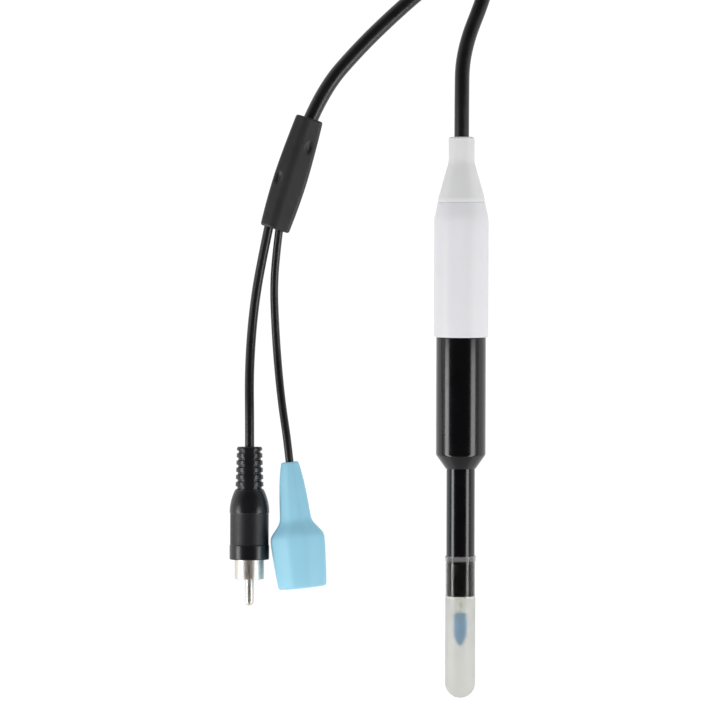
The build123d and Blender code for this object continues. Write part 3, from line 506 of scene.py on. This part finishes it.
def boot():
    """The boot's eight-sided outside with eased ends, and its round bore."""
    bm = bmesh.new()
    outer = []
    rows = [(0.0, 0.8), (0.06, 0.5), (0.25, 0.22), (0.55, 0.06), (0.9, 0.0)]
    rows += [(0.9 + (BOOT_LENGTH - 1.5) * k / BOOT_ROWS, 0.0) for k in range(1, BOOT_ROWS + 1)]
    rows += [(BOOT_LENGTH - 0.3, 0.07), (BOOT_LENGTH - 0.1, 0.2), (BOOT_LENGTH, 0.42)]
    for z, inset in rows:
        w, h = boot_halves(z)
        outer.append([bm.verts.new((p.x * MM, p.y * MM, z * MM)) for p in octagon(w - inset, h - inset)])
    count = len(outer[0])
    inner = []
    for z, r in BOOT_BORE:
        inner.append([])
        for p in octagon(8.3, 8.2):
            a = atan2(p.y, p.x)
            inner[-1].append(bm.verts.new((r * cos(a) * MM, r * sin(a) * MM, z * MM)))

    def join(one, two):
        for k in range(count):
            j = (k + 1) % count
            bm.faces.new((one[k], one[j], two[j], two[k]))

    for one, two in zip(outer, outer[1:]):
        join(one, two)
    for one, two in zip(inner, inner[1:]):
        join(two, one)
    join(inner[0], outer[0])
    join(outer[-1], inner[-1])
    end = BOOT_TOP + BOOT_HEADING * BOOT_LENGTH * MM
    place = Matrix.Translation(end) @ Matrix.Rotation(BOOT_LEAN, 4, "Z") @ Matrix.Rotation(radians(-90), 4, "X")
    return finish_mesh("boot", bm, "boot_blue", "coupling", place, 70.0)


boot_obj = boot()
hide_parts("bayonet_boot")


# Phono plug's cover
PLUG_FRONT = v(-74.4, -50.2, 7.0)
PLUG_LENGTH, BARREL_LENGTH, BARREL_R, BAND_R = 39.8, 24.6, 7.0, 6.8
BAND_FOOT, BAND_TOP, DOME_START, DOME_RISE, DOME_LENGTH = 5.3, 16.3, 16.6, 1.9, 8.0
DOME_R = (DOME_RISE ** 2 + DOME_LENGTH ** 2) / (2 * DOME_RISE)
RIBBED_LENGTH, RIB_COUNT, NOTCH_START, NOTCH_END, NOTCH_EASE = 15.2, 6, 0.08, 0.44, 0.09
NOTCH_DEPTH, SPINE_HALF, SPINE_EASE = 0.62, 1.9, 0.6
RIB_PITCH = RIBBED_LENGTH / RIB_COUNT
SHELL_R, SHELL_BORE_R, SHELL_FRONT, SLOT_FOOT, SHELL_BACK = 5.2, 4.15, -6.9, -1.5, 9.0
COVER_BORE_R, LEAD_BORE_R = 5.22, 1.7


def rib_dent(r, z, angle):
    """Sinks the notches between the ribs on both sides of the relief and leaves a spine above and below."""
    if r < 4.0 or z < BARREL_LENGTH + 0.05:
        return r
    u = ((z - BARREL_LENGTH) / RIB_PITCH - NOTCH_START) % 1.0
    notch = ease(u / NOTCH_EASE) * ease((NOTCH_END - u) / NOTCH_EASE)
    side = ease((abs(r * cos(angle)) - SPINE_HALF) / SPINE_EASE)
    return r - NOTCH_DEPTH * notch * side


cover_profile = [
    (COVER_BORE_R, 0.0, 0.1), (BARREL_R, 0.0, 0.55), (BARREL_R, BAND_FOOT - 0.25, 0.2), (BAND_R, BAND_FOOT, 0.2),
    (BAND_R, BAND_TOP, 0.2), (BARREL_R, DOME_START, 0.15)]
for k in range(1, ARC_STEPS + 1):
    s = DOME_LENGTH * k / ARC_STEPS
    cover_profile.append(
        (BARREL_R - DOME_R + sqrt(DOME_R ** 2 - s * s), DOME_START + s, 0.25 if k == ARC_STEPS else 0))
RELIEF_ROWS = 96
for k in range(RELIEF_ROWS + 1):
    t = k / RELIEF_ROWS
    cover_profile.append((5.0 - 0.55 * t - 0.3 * ease((t - 0.97) / 0.03), BARREL_LENGTH + RIBBED_LENGTH * t, 0))
cover_profile += [
    (LEAD_BORE_R, PLUG_LENGTH, 0.1), (LEAD_BORE_R, SHELL_BACK + SEAT_GAP, 0),
    (COVER_BORE_R, SHELL_BACK + SEAT_GAP, 0)]
cover_place = Matrix.Translation(PLUG_FRONT) @ Matrix.Rotation(radians(-90), 4, "X")
cover_obj = turned("plug_cover", cover_profile, "plug_black", "electrode", cover_place, sides=120, dent=rib_dent)
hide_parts("phono_cover")


# Phono plug's shell
def plug_shell():
    """A spring ring with four slots, one of them facing up."""
    bm = bmesh.new()
    section = eased([
        (SHELL_BORE_R, SHELL_FRONT, 0.12), (SHELL_R, SHELL_FRONT, 0.38), (SHELL_R, SLOT_FOOT, 0),
        (SHELL_BORE_R, SLOT_FOOT, 0)], 4)
    back = [Vector(p) for p in (
        (SHELL_BORE_R, SLOT_FOOT), (SHELL_R, SLOT_FOOT), (SHELL_R, SHELL_BACK), (SHELL_BORE_R, SHELL_BACK))]
    for start, sweep, profile in [(0.0, 360.0, back)] + [(90.0 * k + 5.0, 80.0, section) for k in range(4)]:
        steps = 96 if sweep == 360.0 else 24
        rings = []
        for k in range(steps + (sweep != 360.0)):
            a = radians(start + sweep * k / steps)
            rings.append([bm.verts.new((p.x * MM * cos(a), p.x * MM * sin(a), p.y * MM)) for p in profile])
        for k in range(steps):
            one, two = rings[k], rings[(k + 1) % len(rings)]
            for i in range(len(profile)):
                j = (i + 1) % len(profile)
                bm.faces.new((one[i], one[j], two[j], two[i]))
        if sweep != 360.0:
            bm.faces.new(rings[0])
            bm.faces.new(list(reversed(rings[-1])))
    return finish_mesh("plug_shell", bm, "nickel", "electrode", cover_place, 38.0)


shell_obj = plug_shell()
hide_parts("phono_shell")


# Splitter and coil straps
SPLITTER_LENGTH, SPLITTER_WIDTH, SPLITTER_HEIGHT = 41.0, 11.9, 8.0
SPLITTER_HALF, SPLITTER_WIDEST = SPLITTER_LENGTH / 2, -2.05
SPLITTER_DIMPLES = (
    (0.24 * SPLITTER_WIDTH, SPLITTER_HALF - 0.25 * SPLITTER_LENGTH),
    (-0.34 * SPLITTER_WIDTH, SPLITTER_HALF - 0.57 * SPLITTER_LENGTH))
DIMPLE_DEPTH, DIMPLE_STRETCH = 0.75, 1.9
STRAP_R = 26.5


def evened(points, count):
    """A closed loop of points set again at even steps of its length."""
    closed = [*points, points[0]]
    lengths = [0.0]
    for one, two in zip(closed, closed[1:]):
        lengths.append(lengths[-1] + (two - one).length)
    out, at = [], 0
    for k in range(count):
        want = lengths[-1] * k / count
        while lengths[at + 1] < want:
            at += 1
        t = (want - lengths[at]) / max(1e-9, lengths[at + 1] - lengths[at])
        out.append(closed[at].lerp(closed[at + 1], t))
    return out


def splitter_loop(y, inset):
    """The splitter's section at a place along it: a box with a low roof whose ridge lies left of the middle."""
    t = y - SPLITTER_WIDEST
    low_reach, high_reach = SPLITTER_HALF + SPLITTER_WIDEST, SPLITTER_HALF - SPLITTER_WIDEST
    width = SPLITTER_WIDTH - (1.5 * (t / low_reach) ** 2 if t < 0 else 2.2 * (t / high_reach) ** 1.5)
    tall = SPLITTER_HEIGHT - 0.64 * (abs(y) / SPLITTER_HALF)
    middle = SPLITTER_HEIGHT / 2
    half, flat, side = width / 2 - inset, width * 0.30, tall * 0.24
    top, foot = middle + tall / 2 - inset, middle - tall / 2 + inset
    ridge = -half * 0.17
    corners = [
        (flat, foot, 0.5), (half, middle - side, 1.0), (half, middle + side, 1.0), (ridge + 0.8, top, 1.0),
        (ridge - 0.8, top, 1.0), (-half, middle + side, 1.0), (-half, middle - side, 1.0), (-flat, foot, 0.5)]
    return evened(eased(corners, 4), 84)


def splitter():
    """The splitter's sections from end to end, with eased ends and two dimples pressed into the roof."""
    bm = bmesh.new()
    rows = [(-SPLITTER_HALF, 0.55), (-20.42, 0.3), (-20.2, 0.1), (-19.85, 0.0)]
    rows += [(-19.85 + 39.7 * k / 90, 0.0) for k in range(1, 90)]
    rows += [(-y, inset) for y, inset in reversed(rows[:4])]
    rings = []
    for y, inset in rows:
        rings.append([])
        for p in splitter_loop(y, inset):
            z = p.y
            for x0, y0 in SPLITTER_DIMPLES:
                d = hypot(p.x - x0, (y - y0) / DIMPLE_STRETCH)
                if z > 4.5:
                    z -= DIMPLE_DEPTH * ease((1.3 - d) / 0.8)
            rings[-1].append(bm.verts.new((p.x * MM, y * MM, z * MM)))
    count = len(rings[0])
    for one, two in zip(rings, rings[1:]):
        for k in range(count):
            j = (k + 1) % count
            bm.faces.new((one[k], one[j], two[j], two[k]))
    bm.faces.new(rings[0])
    bm.faces.new(list(reversed(rings[-1])))
    place = Matrix.Translation(v(-59.65, 86.0, 0.0)) @ Matrix.Rotation(radians(-17.5), 4, "Z")
    return finish_mesh("splitter", bm, "splitter_grey", "electrode", place, 50.0)


def strap(bm, angle):
    """Adds a woven strap round the coil's section, its loose end lying over the start."""
    def square(half, corner, low):
        high = low + 2 * half
        loop = [(-half, low, corner), (half, low, corner), (half, high, corner), (-half, high, corner)]
        return evened(eased(loop, 6), 72)

    band = [
        (-3.85, 0.03), (-4.0, 0.18), (-4.0, 0.46), (-3.8, 0.62), (3.8, 0.62), (4.0, 0.46), (4.0, 0.18), (3.85, 0.03)]
    inner, outer = square(5.65, 2.4, 0.6), square(6.25, 3.0, 0.0)
    a = radians(angle)
    centre = v(COIL_CENTRE.x + STRAP_R * cos(a), COIL_CENTRE.y + STRAP_R * sin(a), 0.0)
    place = Matrix.Translation(centre) @ Matrix.Rotation(a, 4, "Z")
    rings = []
    for one, two in zip(inner, outer):
        out = (two - one).normalized()
        rings.append([
            bm.verts.new(place @ v(one.x + out.x * t * 0.95, y, one.y + out.y * t * 0.95)) for y, t in band])
    for k in range(len(rings)):
        one, two = rings[k], rings[(k + 1) % len(rings)]
        for i in range(len(band)):
            j = (i + 1) % len(band)
            bm.faces.new((one[i], one[j], two[j], two[i]))
    tail = []
    for k in range(20, 46):
        out = (outer[k] - inner[k]).normalized()
        narrow = 0.92 if k < 44 else 0.75
        base = outer[k] - out * 0.1
        tail.append([
            bm.verts.new(place @ v(base.x + out.x * t * 0.9, y * narrow, base.y + out.y * t * 0.9))
            for y, t in band])
    for one, two in zip(tail, tail[1:]):
        for i in range(len(band)):
            j = (i + 1) % len(band)
            bm.faces.new((one[i], one[j], two[j], two[i]))
    bm.faces.new(tail[0])
    bm.faces.new(list(reversed(tail[-1])))


splitter_obj = splitter()
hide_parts("cable_splitter")
bm = bmesh.new()
strap(bm, 110.0)
strap(bm, -20.0)
straps_obj = finish_mesh("straps", bm, "tie_grey", "electrode", None, 50.0)
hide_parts("coil_ties")


# Floor, light and camera
def stage_material(name, camera_share, emission, colour):
    """A floor that takes shadows and shows nearly white to the camera, in reflections and through clear pieces."""
    mat = bpy.data.materials.new(name)
    mat.use_nodes = True
    tree = mat.node_tree
    tree.nodes.clear()
    out = tree.nodes.new("ShaderNodeOutputMaterial")
    diffuse = tree.nodes.new("ShaderNodeBsdfDiffuse")
    diffuse.inputs["Color"].default_value = (colour, colour, colour, 1)
    glow = tree.nodes.new("ShaderNodeEmission")
    glow.inputs["Strength"].default_value = emission
    path = tree.nodes.new("ShaderNodeLightPath")
    total = tree.nodes.new("ShaderNodeMath")
    total.operation = "ADD"
    tree.links.new(path.outputs["Is Camera Ray"], total.inputs[0])
    more = tree.nodes.new("ShaderNodeMath")
    more.operation = "ADD"
    tree.links.new(path.outputs["Is Glossy Ray"], more.inputs[0])
    tree.links.new(path.outputs["Is Transmission Ray"], more.inputs[1])
    tree.links.new(more.outputs[0], total.inputs[1])
    scaled = tree.nodes.new("ShaderNodeMath")
    scaled.operation = "MULTIPLY"
    scaled.use_clamp = True
    tree.links.new(total.outputs[0], scaled.inputs[0])
    scaled.inputs[1].default_value = camera_share
    mix = tree.nodes.new("ShaderNodeMixShader")
    tree.links.new(scaled.outputs[0], mix.inputs[0])
    tree.links.new(diffuse.outputs[0], mix.inputs[1])
    tree.links.new(glow.outputs[0], mix.inputs[2])
    tree.links.new(mix.outputs[0], out.inputs["Surface"])
    return mat


bm = bmesh.new()
bmesh.ops.create_grid(bm, x_segments=1, y_segments=1, size=6.0)
floor_mesh = bpy.data.meshes.new("floor")
bm.to_mesh(floor_mesh)
bm.free()
floor = bpy.data.objects.new("floor", floor_mesh)
bpy.context.scene.collection.objects.link(floor)
FLOOR_DROP = 0.02 * MM
floor.location = (0, 0, -FLOOR_DROP)
paint(floor, stage_material("floor", 0.90, 1.10, 0.86))

world = bpy.data.worlds.new("studio")
bpy.context.scene.world = world
world.use_nodes = True
tree = world.node_tree
tree.nodes.clear()
out = tree.nodes.new("ShaderNodeOutputWorld")
coords = tree.nodes.new("ShaderNodeTexCoord")
split = tree.nodes.new("ShaderNodeSeparateXYZ")
tree.links.new(coords.outputs["Generated"], split.inputs[0])
ramp = tree.nodes.new("ShaderNodeValToRGB")
ramp.color_ramp.interpolation = "EASE"
stops = [(0.0, 0.62), (0.25, 0.55), (0.62, 0.10), (0.85, 0.045)]
while len(ramp.color_ramp.elements) < len(stops):
    ramp.color_ramp.elements.new(0.5)
for element, (place, value) in zip(ramp.color_ramp.elements, stops):
    element.position = place
    element.color = (value, value, value, 1)
tree.links.new(split.outputs["Z"], ramp.inputs[0])
sky = tree.nodes.new("ShaderNodeBackground")
tree.links.new(ramp.outputs[0], sky.inputs["Color"])
white = tree.nodes.new("ShaderNodeBackground")
white.inputs["Color"].default_value = (1, 1, 1, 1)
path = tree.nodes.new("ShaderNodeLightPath")
mix = tree.nodes.new("ShaderNodeMixShader")
tree.links.new(path.outputs["Is Camera Ray"], mix.inputs[0])
tree.links.new(sky.outputs[0], mix.inputs[1])
tree.links.new(white.outputs[0], mix.inputs[2])
tree.links.new(mix.outputs[0], out.inputs["Surface"])


def strip_light(name, angle, side, radiance, width_deg=18.0, distance=0.75, length=1.02, middle=-0.455):
    """A long softbox along Y at an angle from the vertical, aimed at the object."""
    centre = Vector((0.0, middle, 0.0))
    place = centre + Vector((side * sin(radians(angle)), 0, cos(radians(angle)))) * distance
    light = bpy.data.lights.new(name, "AREA")
    light.shape = "RECTANGLE"
    light.size = 2 * distance * sin(radians(width_deg / 2))
    light.size_y = length
    light.energy = pi * radiance * light.size * light.size_y
    obj = bpy.data.objects.new(name, light)
    bpy.context.scene.collection.objects.link(obj)
    toward = (centre - place).normalized()
    across = Vector((0, 1, 0))
    right = across.cross(-toward).normalized()
    obj.matrix_world = Matrix((
        (right.x, across.x, -toward.x, place.x), (right.y, across.y, -toward.y, place.y),
        (right.z, across.z, -toward.z, place.z), (0, 0, 0, 1)))
    return obj


strip_light("strip_left", 69.0, -1, 6.4, 20.0)
strip_light("strip_right", 56.5, 1, 5.4, 22.0)
fill = strip_light("fill", 0.0, 1, 1.36, 60.0, 1.2, 1.4, 0.05)
fill.visible_glossy = False
fill.visible_transmission = False

camera = bpy.data.cameras.new("camera")
camera_obj = bpy.data.objects.new("camera", camera)
bpy.context.scene.collection.objects.link(camera_obj)
bpy.context.scene.camera = camera_obj
PHOTO_WIDTH, AXIS_COLUMN, ORIGIN_ROW = 719, 461.0, 417.5
PHOTO_MIDDLE = PHOTO_WIDTH / 2
CAMERA_DISTANCE, CAMERA_ROLL, SENSOR = 1.5, 0.12, 36.0
view_centre = Vector(((PHOTO_MIDDLE - AXIS_COLUMN) * PIXEL, (ORIGIN_ROW - PHOTO_MIDDLE) * PIXEL, 0.009))
camera_obj.location = view_centre + Vector((0, 0, CAMERA_DISTANCE))
camera_obj.rotation_euler = (0, 0, radians(CAMERA_ROLL))
camera.sensor_width = SENSOR
camera.lens = SENSOR * CAMERA_DISTANCE / (PHOTO_WIDTH * PIXEL)
camera.clip_start, camera.clip_end = 0.05, 20.0

bpy.context.scene.view_settings.view_transform = "Standard"
